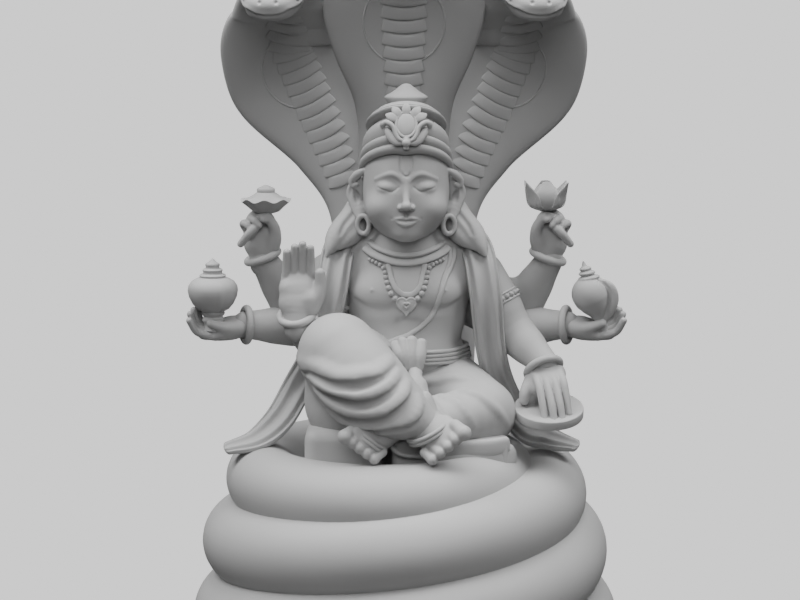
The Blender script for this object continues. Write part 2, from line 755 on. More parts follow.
# The trunk: the bare chest, soft belly and neck of the seated figure, modelled in one, full and
# smooth. A shallow fold runs under each side of the chest and a faint crease over the belly.
def trunk():
    clay = Clay((-105, -75, 262), (105, 62, 478), 1.25)
    spine = [(6, 12, 280), (6, 6, 318), (4, -2, 350), (3, -6, 390), (2, -1, 426)]
    clay.add(roll(spine, [66, 60, 52, 60, 54], [50, 43, 36, 38, 28]))
    clay.add(egg((5, -24, 340), (43, 21, 32)), blend=12)
    for side in (-1, 1):
        clay.add(egg((3 + side * 27, -28.5, 402), (30, 15.2, 18), (-14, 0, side * 14)), blend=7)
        clay.add(egg((side * 64, 2, 418), (25, 25, 25)), blend=10)
        clay.add(roll([(side * 12, -12, 448), (side * 50, 0, 436)], [17, 15]), blend=14)
    clay.add(roll([(1, 0, 424), (2, -12, 474)], [33, 28]), blend=9)
    for side in (-1, 1):
        fold = [(4 + side * x, -50, z) for x, z in ((8, 391), (24, 387), (40, 387.5), (52, 393))]
        clay.carve(roll(clay.met(fold, 0.8, 16), 1, steps=1), blend=7)
        nipple = clay.met([(4 + side * 35.4, -50, 405.5), (4 + side * 35.5, -50, 405.5)], 0, 2)[0]
        clay.add(egg(nipple, (1.9, 1.4, 1.5)), blend=1.5)
    crease = clay.laid([(-6, -60, 374), (4, -60, 377), (14, -60, 374)], 0.6, 8)
    clay.carve(roll(crease, 1.2, steps=1), blend=5)
    navel = clay.laid([(21, -60, 352), (21.1, -60, 352)], 0.6, 2)[0]
    clay.carve(egg(navel, (2.8, 4, 3)), blend=2.5)
    return clay


chest = trunk()
cast(chest.skin(), "trunk")


# The legs, wrapped in thin cloth: one knee is raised, and the cloth hangs round its shin in deep
# round folds. The other leg lies flat, with folds that run out from the knot at the waist.
RAISED_THIGH = [(-16, 6, 300), (-46, -40, 326), (-63, -76, 346)]
RAISED_SHIN = [(-63, -80, 350), (-45, -92, 328), (-24, -102, 310), (0, -108, 297), (20, -112, 286)]
FLAT_THIGH = [(30, 4, 298), (58, -30, 292), (77, -57, 288)]
FLAT_SHIN = [(77, -58, 286), (44, -84, 284), (-8, -98, 284), (-30, -106, 279)]
HANGING_FOLDS = [
    [
        (-97, -76, 345), (-82, -119, 341), (-60, -132, 335), (-41, -136, 338), (-25, -134, 342),
        (-11, -112, 350),
    ],
    [
        (-94, -96, 336), (-80, -117, 327), (-60, -134, 320), (-38, -142, 319), (-18, -138, 327),
        (-3, -122, 340),
    ],
    [
        (-84, -108, 318), (-62, -126, 303), (-38, -142, 299), (-15, -144, 305), (1, -136, 319),
        (6, -122, 331),
    ],
    [
        (-68, -100, 293), (-48, -128, 283), (-24, -140, 281), (-2, -142, 287), (12, -134, 300),
        (16, -124, 314),
    ],
]
THIGH_FOLDS = [
    [(17, -64, 323), (28, -64, 330), (44, -60, 331), (60, -60, 325), (68, -62, 317)],
    [(18, -70, 318), (28, -76, 321), (44, -78, 320), (58, -76, 314)],
    [(16, -80, 314), (20, -88, 307), (27, -94, 297), (38, -102, 286), (50, -106, 280)],
    [(24, -76, 316), (35, -84, 311), (51, -92, 299), (66, -98, 283)],
    [(46, -72, 318), (66, -80, 311), (86, -82, 295), (98, -74, 278)],
]
TONGUE = [(9, -56, 336), (11, -76, 321), (15, -96, 303)]  # the sash's end, below the knot


def legs():
    clay = Clay((-122, -166, 226), (122, 58, 404), 1.5)
    clay.add(roll(RAISED_THIGH, [46, 43, 38]))
    clay.add(egg((-56, -48, 298), (42, 48, 46)), blend=14)
    clay.add(roll(FLAT_THIGH, [46, 38, 30]), blend=16)
    clay.add(roll(FLAT_SHIN, [30, 24, 14, 12]), blend=10)
    clay.add(egg((8, 0, 300), (74, 50, 34)), blend=16)
    clay.add(roll(RAISED_SHIN, [38, 42, 37, 26, 15]), blend=7)
    for line in HANGING_FOLDS:
        path = clay.laid(line, -3, 16)
        clay.add(roll(path, spread([3, 7, 8, 8, 7, 3], 16), steps=1), blend=7)
    for line in HANGING_FOLDS:
        path = clay.laid(np.array(line) - (0, 0, 9), 0.4, 16)
        clay.carve(roll(path, spread([0.5, 3.6, 5, 5, 3.6, 0.5], 16), steps=1), blend=2.5)
    clay.add(roll(TONGUE, [4, 7.5, 9]), blend=9)
    for line in THIGH_FOLDS:
        path = clay.laid(line, -1.8, 14)
        clay.add(roll(path, spread([1.5, 4.4, 4.6, 4, 1], 14), steps=1), blend=4)
    return clay.skin()


cast(legs(), "wrapped_legs")


# The feet: bare, side by side in front under the hem, each with a row of round toes. A double
# ring goes round each ankle.
FEET = [
    dict(
        heel=(8, -102, 288), ball=(39.5, -132, 274), ahead=(0.62, -0.66, -0.42),
        big_toe=(56, -138, 283), little_toe=(27, -140, 258),
        shin=[(14, -102, 303), (24, -110, 279)], girth=15.5, side=1,
    ),
    dict(
        heel=(-17, -104, 278), ball=(-40.5, -126, 272), ahead=(-0.66, -0.62, -0.42),
        big_toe=(-56, -131, 278), little_toe=(-29, -133, 257),
        shin=[(-22, -100, 297), (-33, -108, 273)], girth=13, side=-1,
    ),
]
TOE_SIZES = [7.6, 6.1, 5.8, 5.5, 5.3]
TOE_LENGTH = 12
ANKLES = [  # centre, axis and radius
    ((23.5, -115, 281), (0.48, 0.11, -0.87), 21.4),
    ((-34, -114, 273), (-0.59, -0.1, -0.8), 18.8),
]
ANKLE_THICK = 2.1
ANKLE_STEP = 1.8  # how far each of the two rings lies from the middle between them


def foot(heel, ball, ahead, big_toe, little_toe, shin, girth, side):
    heel, ball, ahead = (np.array(value, float) for value in (heel, ball, ahead))
    top = np.array((-0.37 * side, -0.68, 0.49))
    clay = Clay(ball - 54, ball + 42, 0.85)
    sole = [heel, heel * 0.45 + ball * 0.55, ball - ahead * 12.5]
    clay.add(roll(sole, [14.5, 16.5, 20.5], [13, 11, 8], facing=top))
    clay.add(roll(shin, girth), blend=6)
    for i, size in enumerate(TOE_SIZES):
        tip = along([big_toe, little_toe], [i / 4])[0] - ahead
        root = tip - ahead * TOE_LENGTH
        clay.add(roll([root, (root + tip) / 2, tip], np.array((0.84, 0.84, 1)) * size), blend=1.5)
    return clay.skin()


def ring(centre, axis, reach, thick, squash=1, across=(1, 0, 0), sides=16, rows=56):
    """A closed ring round an axis, of a round section. squash makes it an oval, whose other width
    lies along across."""
    turn = np.linspace(0, math.tau, 33)[:, None]
    way = unit(np.array(axis, float))
    second = unit(np.cross(way, across))
    first = np.cross(second, way)
    path = np.array(centre) + reach * (np.cos(turn) * first + squash * np.sin(turn) * second)
    return tube(path, thick, facing=way, sides=sides, rows=rows, cap=2)


cast(together([foot(**each) for each in FEET]), "feet")
ankles = [
    ring(np.add(centre, np.multiply(axis, step)), axis, reach, ANKLE_THICK)
    for centre, axis, reach in ANKLES
    for step in (-ANKLE_STEP, ANKLE_STEP)
]
cast(together(ankles), "ankle_rings")


# The six arms: smooth and round, without muscle, two in front and four behind them. Each has a
# plain thick bangle at the wrist.
ARMS = {  # shoulder, elbow and wrist
    "resting": [(78, 2, 416), (111, -8, 357), (138, -40, 333)],
    "raised": [(-74, 0, 416), (-84, -24, 350), (-103, -60, 374)],
    "upper_left": [(54, 34, 400), (122, 30, 384), (146, 8, 430)],
    "upper_right": [(-54, 34, 400), (-116, 30, 384), (-141, 8, 430)],
    "lower_left": [(56, 32, 388), (116, 22, 360), (163, 0, 365)],
    "lower_right": [(-56, 32, 388), (-110, 22, 360), (-159, 0, 365)],
}
BANGLES = [  # centre, axis and radius
    ((-104, -61, 384), (-0.15, -0.45, 0.88), 16),
    ((137, -41, 328), (0.3, -0.62, -0.72), 17),
    ((144, 8, 433), (0.33, -0.12, 0.94), 16),
    ((-141.5, 8, 433), (-0.33, -0.12, 0.94), 16),
    ((162.5, 0, 365), (0.95, -0.34, 0.06), 16.4),
    ((-158, 0, 365), (-0.95, -0.34, 0.06), 16.4),
]
BANGLE_THICK = 3.8


def arm(shoulder, elbow, wrist):
    points = np.array([shoulder, elbow, wrist], float)
    clay = Clay(points.min(0) - 32, points.max(0) + 32, 1.4)
    upper = along(points[:2], np.linspace(0, 1, 3))
    lower = along(points[1:], np.linspace(0, 1, 4))
    clay.add(roll(upper, [22, 22.5, 18]))
    clay.add(roll(lower, [18, 19, 16, 13.5]), blend=9)
    return clay.skin()


cast(together([arm(*joints) for joints in ARMS.values()]), "arms")
cast(together([ring(*bangle, BANGLE_THICK) for bangle in BANGLES]), "bangles")


# The hands: one raised with an open palm, one laid on the disc, and four that hold the emblems.
# A digit is a path in the hand's own frame: up the hand, towards the thumb, out of the palm.
def straight_digits(bends, lengths, spacing=7.8, root=34):
    """Four fingers side by side, each bent twice towards the palm."""
    digits = []
    for i, length in enumerate(lengths):
        place, bent = np.array((root, spacing * (1.5 - i), -1.5)), 0
        digit = [place]
        for bend, share in zip(bends[i], (1, 0.85)):
            bent += math.radians(bend)
            place = place + np.array((math.cos(bent), 0, math.sin(bent))) * length * share
            digit.append(place)
        digits.append(digit)
    return digits


OPEN = straight_digits([(15, 4)] * 4, (18, 20, 18.5, 15.5), spacing=7.6, root=38)
DRAPED = [
    [(9, place, -4), (26, place, -5.5), (length - 14, place, 1), (length, place, 11)]
    for place, length in ((12.3, 55), (4.1, 60), (-4.1, 59), (-12.3, 53))
]
CUPPED = straight_digits([(26, 40), (32, 42), (38, 44), (44, 46)], (20, 21, 20, 18))
PINCHED = [
    [(30, -1, 1), (43, -3, 4), (47, 2, 11), (44, 5, 16)],
    [(30, -8, 1), (42, -11, 4), (43, -6, 13), (38, -1, 16)],
    [(28, -13, 1), (37, -18, 3), (38, -14, 11), (33, -9, 14)],
    [(26, -12, 6), (35, -5, 14), (29, -12, 17), (18, -21, 14)],
]
OPEN_THUMB = [(12, 13, 3), (24, 19, 5), (35, 21.5, 6), (46, 21, 8)]
WIDE_THUMB = [(4, 10, 4), (14, 18, 5), (22, 24, 8), (27, 26, 13)]
PRESSED_THUMB = [(5, 8, 3), (19, 14, 7), (33, 15, 10), (47, 8, 12)]
CUPPED_THUMB = [(6, 10, 3), (18, 15, 7), (28, 14, 11), (36, 12, 15)]
FRONT = (0, -1, 0)
HANDS = [
    dict(
        wrist=(-103, -63, 379), up=(0.02, 0.12, 1), palm=FRONT, side=1, digits=OPEN,
        thumb=OPEN_THUMB, reach=41,
    ),
    dict(
        wrist=(138, -38, 328), up=(0.19, -0.78, -0.6), palm=(0, 0.6, -0.8), side=-1, digits=DRAPED,
        thumb=WIDE_THUMB, reach=14, deep=7, slim=0.86,
    ),
    dict(
        wrist=(145, 8, 432), up=(0.02, -0.1, 1), palm=FRONT, side=-1, digits=PINCHED,
        thumb=PRESSED_THUMB, size=0.94,
    ),
    dict(
        wrist=(-142, 8, 432), up=(-0.02, -0.1, 1), palm=FRONT, side=1, digits=PINCHED,
        thumb=PRESSED_THUMB, size=0.94,
    ),
    dict(
        wrist=(165, 0, 364), up=(1, -0.14, -0.16), palm=(0.16, -0.3, 1), side=1, digits=CUPPED,
        thumb=CUPPED_THUMB, size=0.9,
    ),
    dict(
        wrist=(-160, 0, 364), up=(-1, -0.14, -0.16), palm=(-0.16, -0.3, 1), side=-1, digits=CUPPED,
        thumb=CUPPED_THUMB, size=0.9,
    ),
]
FINGER = (4.9, 4.5, 4.3, 3.8)  # half widths from root to tip
THUMB = (8.2, 7, 5.8, 5)


def hand(wrist, up, palm, side, digits, thumb, size=1, reach=36, deep=5, slim=1):
    """A hand of clay, whose palm reaches so far from the wrist and is so deep at the knuckles."""
    forward = unit(np.array(up, float))
    across = unit(np.cross(forward, palm))
    inward = np.cross(across, forward)
    axes = np.array((forward, across * side, inward)) * size
    start = np.array(wrist, float)
    clay = Clay(start - 80 * size, start + 80 * size, 0.9)

    def spots(path):
        return start + np.array(path, float) @ axes

    clay.add(
        roll(
            spots([(-8, 0, 0), (reach * 0.11, 0, 0), (reach * 0.55, 1, 0), (reach, -0.5, -1)]),
            np.array((13, 14, 18.5, 16.5)) * size,
            np.array((12, 12, 9.5 + deep / 6, deep)) * size,
            facing=inward,
        )
    )
    for place, half, girth, swell in ((27, 10, 7.5, 6.5), (14, 7, 11, 8)):
        pad = spots([(place * reach / 36, -half, 1.5), (place * reach / 36, half - 1, 1.5)])
        clay.add(roll(pad, girth * size, swell * size, facing=inward), blend=5)
    clay.add(egg(spots((21, 12, 4.5)), np.array((8, 8, 8)) * size), blend=5)
    for digit in digits:
        girth = spread(FINGER, len(digit)) * size * slim
        clay.add(roll(spots(digit), girth, steps=5), blend=1)
    clay.add(roll(spots(thumb), np.array(THUMB) * size), blend=3)
    return clay.skin()


cast(together([hand(**each) for each in HANDS]), "hands")


# The head: round and calm, with lowered lids, a small smile and long ear lobes. The face is a
# plain one on the usual thirds: brow, nose and chin at equal steps, eyes one eye's width apart.
CHIN = 454
HAIRLINE = 548
THIRD = (HAIRLINE - CHIN) / 3
EYE = CHIN + 0.575 * (HAIRLINE - CHIN)
EYE_APART = 17
HEAD_SIDE = 2  # how far the head sits to the figure's left
FOREHEAD_MARK = [
    (-5.8, -62, 546), (-5.8, -62, 526), (-3.5, -62, 520), (0, -62, 518), (3.5, -62, 520), (5.8, -62, 526),
    (5.8, -62, 546),
]
EAR_RING = dict(reach=6.2, thick=2.5, squash=1.42, rows=40)


def head():
    clay = Clay((-66, -92, 438), (66, 52, 576), 0.8)
    clay.add(egg((0, -14, 514), (43, 48, 50)))
    clay.add(egg((0, -25, 488), (39.5, 37, 36)), blend=12)
    clay.add(egg((0, -49, 463), (14, 13, 9)), blend=10)
    brow, nose, mouth = CHIN + 2 * THIRD, CHIN + THIRD, CHIN + 0.68 * THIRD
    for side in (-1, 1):
        clay.carve(egg((side * EYE_APART, -71, EYE + 3), (15, 11, 9)), blend=6)
        line = [(side * 3.5, -62, brow - 3), (side * 15, -62, brow + 4), (side * 31, -50, brow - 2)]
        clay.add(roll(clay.laid(line, -0.9, 14), spread([1.4, 2.2, 1.2], 14), steps=1), blend=2.4)
        clay.add(egg((side * EYE_APART, -50, EYE - 1), (12, 10.4, 7.6), (0, 0, side * 16)), blend=1.6)
        clay.add(egg((side * 23, -45, nose + 1), (14, 14, 12)), blend=12)
    clay.add(egg((0, -50, mouth), (20, 11, 11)), blend=9)
    reach = np.linspace(-1, 1, 25)
    full = np.cos(reach * math.pi / 2) ** 0.8
    bow = np.exp(-((reach / 0.16) ** 2))
    upper = np.stack([13 * reach, -64 + 0 * reach, mouth + 0.9 + 1.9 * full - 0.9 * bow], 1)
    lower = np.stack([10.4 * reach, -64 + 0 * reach, mouth + 0.9 - 4.4 * full], 1)
    parting = np.stack([14.6 * reach, -64 + 0 * reach, mouth + 0.4 + 2 * reach**4 - 0.5 * bow], 1)
    clay.add(roll(clay.met(upper, -0.3, 25), 0.5 + 1.6 * full, steps=1), blend=1)
    clay.add(roll(clay.met(lower, -0.5, 25), 0.6 + 2.2 * full, steps=1), blend=1.2)
    clay.carve(roll(clay.met(parting, 0.4, 25), 0.8, steps=1), blend=0.8)
    hollow = clay.met([(0, -64, nose - 3.5), (0, -64, mouth + 4.5)], 0.4, 6)
    clay.carve(roll(hollow, 1, steps=1), blend=1.4)
    clay.add(roll([(0, -59, brow + 1), (0, -64, nose + 17), (0, -69, nose + 6)], [2.6, 2.9, 3.8]), blend=3.4)
    clay.add(egg((0, -69.5, nose + 4.4), (4.7, 4.7, 4.3)), blend=2.4)
    for side in (-1, 1):
        clay.add(egg((side * 5.4, -64.5, nose + 3), (3.2, 4.4, 3.2)), blend=1.6)
        clay.carve(egg((side * 3, -67.5, nose - 0.6), (1.4, 2.4, 1.2)), blend=1)
    for side in (-1, 1):
        lid = [
            (side * (EYE_APART - 10), -60, EYE - 0.5),
            (side * EYE_APART, -64, EYE - 5),
            (side * (EYE_APART + 11), -54, EYE - 0.8),
        ]
        clay.carve(roll(clay.laid(lid, 0.2, 18), 0.95, steps=1), blend=0.8)
        ear = [(side * 41, -13, 503), (side * 48, -11, 494), (side * 45, -18, 478)]
        clay.add(roll(ear, [7, 9, 5], [4, 4, 4]), blend=3)
        clay.add(egg((side * 43, -6, 512), (9, 8, 9)), blend=3)
        clay.add(egg((side * 47, -13, 503), (6.4, 6.4, 16)), blend=2)
        helix = [
            (side * 43, -16, 500), (side * 48, -14, 506), (side * 54, -11, 505), (side * 56, -10, 496),
            (side * 52, -13, 485), (side * 46, -19, 475),
        ]
        clay.add(roll(helix, [2.2, 2.8, 3, 3, 3, 3.6]), blend=1.2)
        clay.carve(egg((side * 49, -19, 495), (3.6, 6, 7), (0, side * 10, 0)), blend=2)
        tuft = [
            (side * 42, -26, 521), (side * 48, -22, 517), (side * 53, -18, 511), (side * 52, -18, 506),
            (side * 48, -21, 508),
        ]
        clay.add(roll(tuft, [3, 4, 3.6, 3, 2.2]), blend=1.2)
    clay.carve(roll(clay.laid(FOREHEAD_MARK, 0.3, 30), 1.3, steps=1), blend=0.7)
    return clay.skin()


def at_head(bm):
    """Moves a form that is modelled about the middle to where the head sits."""
    bm.transform(Matrix.Translation((HEAD_SIDE, 0, 0)))
    return bm


cast(at_head(head()), "head")
ear_rings = [ring((side * 42, -25, 468), (side * 0.35, -1, 0), **EAR_RING) for side in (-1, 1)]
cast(at_head(together(ear_rings)), "ear_rings")


# The hair: heavy locks that swell out behind the ears and come to a point on the shoulders, and a
# full plain head of hair behind.
LOCKS = [
    (
        [(42, 4, 494), (54, -6, 473), (66, -17, 459), (73, -25, 448), (78, -31, 438.5)],
        [11, 12, 11.5, 7.5, 1.8],
    ),
    ([(42, 2, 480), (48, -8, 463), (57, -18, 454), (66, -26, 446)], [9, 10.5, 8.5, 3]),
    ([(36, 20, 508), (46, 16, 478), (56, 12, 456), (62, 8, 436)], [13, 13, 12, 5]),
    ([(26, 34, 500), (40, 34, 462), (48, 30, 440), (54, 26, 416)], [16, 18, 14, 6]),
    ([(8, 40, 500), (14, 44, 460), (16, 42, 434), (18, 40, 408)], [18, 18, 14, 6]),
]
PARTING = [(46, -34, 487), (52, -34, 478), (60, -38, 468), (64.5, -40, 459)]


def hair():
    clay = Clay((-98, -36, 400), (98, 66, 548), 1.15)
    clay.add(egg((0, 22, 492), (43, 32, 48)))
    for side in (-1, 1):
        for line, girth in LOCKS:
            clay.add(roll([(x * side, y, z) for x, y, z in line], girth), blend=2.5)
        parting = clay.met([(x * side, y, z) for x, y, z in PARTING], 0, 24)
        clay.carve(roll(parting, spread([0.8, 1.8, 1.8, 0.6], 24), steps=1), blend=3.5)
        for line, girth in LOCKS[2:]:
            path = np.array([(x * side, y, z) for x, y, z in line], float)
            path[:, 1] += girth
            clay.carve(roll(clay.laid(path, 0.5, 16), 1.1, steps=1), blend=3)
    return clay.skin()


cast(at_head(hair()), "hair")


# The crown: a thick brow roll and two bands that rise to the front, a dome with a flaring tier,
# and a pointed cap. In front are an oval jewel, petals over it and a leaf scrolled to each side.
CROWN_PLACE = (2, -12, 519)
CROWN_RISE = 0.46  # how steeply the bands climb to the front
CROWN_DEPTH = 1.08  # front to back against side to side
CROWN = [
    (36, 4), (40, 1.6), (43, 0.4), (45.4, 1), (46.6, 3.2), (46.6, 5.6), (45.4, 8), (43.8, 9.2),
    (43.2, 9.8), (44, 10.4), (45.2, 12), (45.4, 15), (44.4, 17.8), (42.8, 19), (42, 19.6),
    (42.4, 20.2), (42.8, 22), (42.9, 26), (42.2, 30), (40.4, 33.8), (37.6, 37), (34.6, 39.4),
    (32.8, 41), (32.4, 42.2), (33.4, 43), (36.4, 43.4), (38.8, 44), (39.8, 45.4), (39.5, 47),
    (38.2, 48.2), (37, 48.8), (37, 49.6), (36.2, 50.8), (34, 52.4), (32.7, 52.9), (32.4, 53.7),
    (30.6, 55.4), (27.6, 56.8), (24, 57.6), (16, 58.6), (8, 59), (0, 59.2),
]
DIP = 2.4  # how far the brow roll dips in the middle
DIP_WIDE = 9
DIP_HIGH = 14
CAP = [
    (0, -23), (13, -23), (16.4, -7), (17.4, -5.8), (20.6, -0.8), (21.4, 0.4), (21.2, 1.64),
    (19.6, 2.952), (14.6, 5.74), (10.4, 8.692), (6.6, 11.808), (4, 13.612), (2, 14.35), (0, 14.596),
]
CAP_PLACE = (2, -10, 591)
JEWEL_PLACE = (2, -60.5, 567.5)
JEWEL_LEAN = 24  # degrees that its face leans back
FAN = (0, -36, 36, -61, 61)  # where the petals point, in degrees from upright
PETAL_REACH = (10, 14.5, 18.5, 22)
PETAL_OUT = (0.2, 1, 0.8, -0.6)
PETAL_WIDE = (3.2, 4.3, 3.7, 1.4)
PETAL_THICK = (1.6, 1.8, 1.5, 0.7)
SCROLL = [
    (3.1, -66, 552.3), (7, -65.5, 554.3), (10, -64, 559), (12, -62.5, 564.7), (15.4, -61, 568.2),
    (19.6, -59, 569.5), (22.3, -58, 567.8), (22.6, -57.5, 565.2),
]
LEAF = [(2.9, -65, 550.1), (9.4, -64, 550.9), (14.2, -62.5, 555), (17.5, -60.5, 560.3), (19.6, -59, 563.8)]


def crown_band():
    """The brow roll, bands, dome and tier, turned in one and raised towards the front."""
    turn = np.linspace(0, math.tau, 129)[None, :]
    profile = np.array(CROWN)
    reach, height = profile[:, :1], profile[:, 1:]
    x = reach * np.sin(turn)
    y = -CROWN_DEPTH * reach * np.cos(turn)
    dip = DIP * np.exp(-((x / DIP_WIDE) ** 2) - (height / DIP_HIGH) ** 2) * (np.cos(turn) > 0)
    z = height - CROWN_RISE * y - dip
    return skin(np.stack([x + CROWN_PLACE[0], y + CROWN_PLACE[1], z + CROWN_PLACE[2]], 2))


def on_jewel(across, up, out):
    """Places on the jewel's leaning face."""
    lean = math.radians(JEWEL_LEAN)
    x, y, z = JEWEL_PLACE
    up, out = np.asarray(up, float), np.asarray(out, float)
    back = up * math.sin(lean) - out * math.cos(lean)
    return np.stack([x + across, y + back, z + up * math.cos(lean) + out * math.sin(lean)], -1)


def crown_jewel():
    """The oval jewel on its mount, with the petals, scrolls and leaves round it."""
    x, y, z = JEWEL_PLACE
    front = np.array((0, -math.cos(math.radians(JEWEL_LEAN)), math.sin(math.radians(JEWEL_LEAN))))
    clay = Clay((x - 24, -78, 544), (x + 24, -34, 592), 0.8)
    clay.add(egg((x, y + 6, z), (14, 7, 16), (-JEWEL_LEAN, 0, 0)))
    clay.add(egg((x, y, z), (9.2, 3.6, 12.4), (-JEWEL_LEAN, 0, 0)), blend=1)
    clay.add(egg((x, -67.5, 550.5), (4.2, 4.2, 4)), blend=0.8)
    clay.add(egg((x, -66, 545.6), (2.9, 3, 3)), blend=0.8)
    clay.add(egg((x, -66, 554.6), (3.8, 3, 2)), blend=0.8)
    forms = [clay.skin()]
    turn = np.linspace(0, math.tau, 33)
    oval = on_jewel(9.6 * np.sin(turn), 12.8 * np.cos(turn), 0.6)
    forms.append(tube(oval, 1.5, facing=front, sides=10, rows=64, cap=2))
    for fan in FAN:
        lean = math.radians(fan)
        reach = np.array(PETAL_REACH)
        petal = on_jewel(reach * math.sin(lean), reach * math.cos(lean), PETAL_OUT)
        forms.append(tube(petal, PETAL_WIDE, PETAL_THICK, front, 20, 24, square=2.6))
    for side in (-1, 1):
        scroll = [(x + side * across, back, up) for across, back, up in SCROLL]
        leaf = [(x + side * across, back, up) for across, back, up in LEAF]
        facing = (side * 0.3, -1, 0.3)
        forms.append(tube(scroll, [2, 2.3, 2.4, 2.3, 2.5, 2.8, 3, 2.3], facing=facing, sides=20, rows=60))
        forms.append(tube(leaf, [2, 3.6, 3.9, 3.4, 1.4], [2, 2.6, 2.6, 2.2, 1.2], facing, 24, 50))
    return together(forms)


cast(together([crown_band(), turned(CAP, CAP_PLACE, steps=72), crown_jewel()]), "crown")


# The shawl: a narrow cloth laid over both shoulders in four lengthwise pleats. It falls before
# the rear arms, and its ends sweep out and lie on the coils.
SHAWL_LEFT = [
    (60, 34, 420), (66, 20, 446), (73, -18, 440), (80, -34, 400), (86, -26, 345), (98, -10, 302),
    (122, -8, 262), (148, -20, 252), (170, -30, 248),
]
SHAWL_RIGHT = [
    (-56, 34, 420), (-58, 20, 446), (-65, -18, 440), (-72, -34, 400), (-86, -22, 345), (-106, -10, 305),
    (-124, -22, 274), (-146, -34, 255), (-174, -42, 248),
]
SHAWL_WIDE = [14, 15, 16, 16, 15, 15, 15, 14, 9]
SHAWL_THICK = [7, 8, 8, 8, 8, 7, 7, 6, 4]
SHAWL_FACING = [(0, -1, 0)] * 5 + [(0, -1, 0.2), (0, -0.8, 0.6), (0, -0.5, 0.85), (0, -0.4, 0.9)]
PLEATS = 4
PLEAT_DEEP = 0.5


def pleat(t, angle):
    """Draws the cloth in between its pleats, and not at its ends."""
    across = np.arccos(np.clip(np.cos(angle), -1, 1)) / math.pi
    deep = 0.5 + 0.5 * np.cos(2 * math.pi * PLEATS * across)
    thick = along(SHAWL_THICK, t[:, 0])
    front = np.sin(angle) < 0
    return 0, np.where(front, -thick * np.sin(angle) * PLEAT_DEEP * deep, 0)


shawls = [
    tube(line, SHAWL_WIDE, SHAWL_THICK, SHAWL_FACING, 112, 150, square=2.6, relief=pleat, cap=6)
    for line in (SHAWL_LEFT, SHAWL_RIGHT)
]
cast(together(shawls), "shawl")


# What the figure wears: a two-part collar, a band and a string of beads with a heart-shaped
# pendant, a cord across the chest, a belt with a knotted sash, and a beaded band on each arm.
COLLAR = [
    (-38, -18, 445), (-30, -32, 439.5), (-14, -43, 434.2), (2.5, -46, 432.2), (19, -43, 434.2),
    (35, -32, 439.5), (43, -18, 445),
]
NECK_BAND = [
    (-34, -14, 451), (-27, -28, 446), (-12.5, -38, 441), (2.5, -41, 439.4), (17.5, -38, 441),
    (32, -28, 446), (39, -14, 451),
]
BEADS = [(-34, 434), (-23.5, 429.5), (-19.4, 424.7), (-17.8, 417.2), (-16.2, 411), (-13.7, 404), (-9.2, 398)]
BEAD_COUNT = 11
BAND = [
    (-15.4, 430), (-13.7, 423.3), (-12.1, 415.6), (-8.1, 407.8), (-2.3, 402.3), (3.3, 401.4),
    (8.9, 402.3), (14.7, 407.8), (17.1, 415.6), (18.7, 423.3), (20.3, 430),
]
CORD = [
    (49.5, 444), (48.9, 436), (46, 427), (41.8, 419.5), (38.4, 411.6), (35.8, 402), (32, 390), (26.6, 380),
    (19.4, 372), (10.8, 365.5), (2.5, 360.5), (-9, 356.4), (-17, 352.4),
]
CORD_APART = 4.4  # how far its second strand lies off at the shoulder
CORD_CLOSING = 0.75  # how much nearer that strand comes at each place
PENDANT = (2.2, 391.5)
BEAD_SIZES = (1.9, 3.1)
BELT_HEIGHTS = (344.5, 340.7, 336.9, 333.1)
ARM_BAND_SHARE = 0.46  # how far down the upper arm
ARM_BAND_REACH = 22.4


def bead(place, size):
    bm = bmesh.new()
    bmesh.ops.create_uvsphere(bm, u_segments=10, v_segments=7, radius=size)
    bm.transform(Matrix.Translation(place))
    return bm


def strand(path, out, wide, thick, facing=(0, -1, 0.25), sides=16, rows=60):
    """A band or cord that lies on the chest, from its places as seen from the front."""
    path = [(place[0], -45, place[-1]) for place in path]
    return tube(chest.met(path, out), wide, thick, facing, sides, rows, square=2.4)


def string_of_beads(side):
    middle = PENDANT[0]
    places = [(x if side < 0 else 2 * middle - x, -45, z) for x, z in BEADS]
    line = chest.met(places, 1.4, 60)
    run = np.concatenate([[0], np.cumsum(np.linalg.norm(np.diff(line, axis=0), axis=1))])
    grown = np.linspace(*BEAD_SIZES, BEAD_COUNT)
    stops = np.concatenate([[0], np.cumsum(grown[1:] + grown[:-1])])
    stops = stops / stops[-1] * run[-1]
    spots = np.stack([np.interp(stops, run, line[:, k]) for k in range(3)], 1)
    return [bead(place, size) for place, size in zip(spots, grown)]


def pendant():
    """A heart with a raised edge and a smaller heart on it."""
    x, z = PENDANT
    y = chest.met([(x, -45, z), (x + 0.1, -45, z)], 2, 2)[0][1]
    clay = Clay((x - 18, y - 14, z - 18), (x + 18, y + 12, z + 16), 0.55)
    for side in (-1, 1):
        lobe = [(x + side * 4.4, y, z + 3), (x + side * 3.6, y, z - 2), (x, y, z - 8)]
        clay.add(roll(lobe, [5, 4.6, 1.6], [3, 3, 2]), blend=1.5)
    turn = np.linspace(0, math.tau, 41)
    across = np.sin(turn) ** 3
    up = (13 * np.cos(turn) - 5 * np.cos(2 * turn) - 2 * np.cos(3 * turn) - np.cos(4 * turn)) / 16
    for share, girth, out in ((9.4, 1.2, 1.6), (3, 1, 2.8)):
        edge = np.stack([x + share * across, y - out + 0 * turn, z + share * up], 1)
        clay.add(roll(edge, girth, steps=1), blend=0.6)
    return clay.skin()


def belt(height, out, thick, deep):
    """One cord of the belt, level round the waist."""
    turn = np.linspace(0, math.tau, 49)
    path = np.stack([5 + 70 * np.sin(turn), 2 - 55 * np.cos(turn), height + 0 * turn], 1)
    for _ in range(3):
        path = chest.laid(path, out, len(turn))
    path[:, 2] = height
    return tube(path, deep, thick, (0, 0, 1), 14, 120, square=2.6, cap=2)


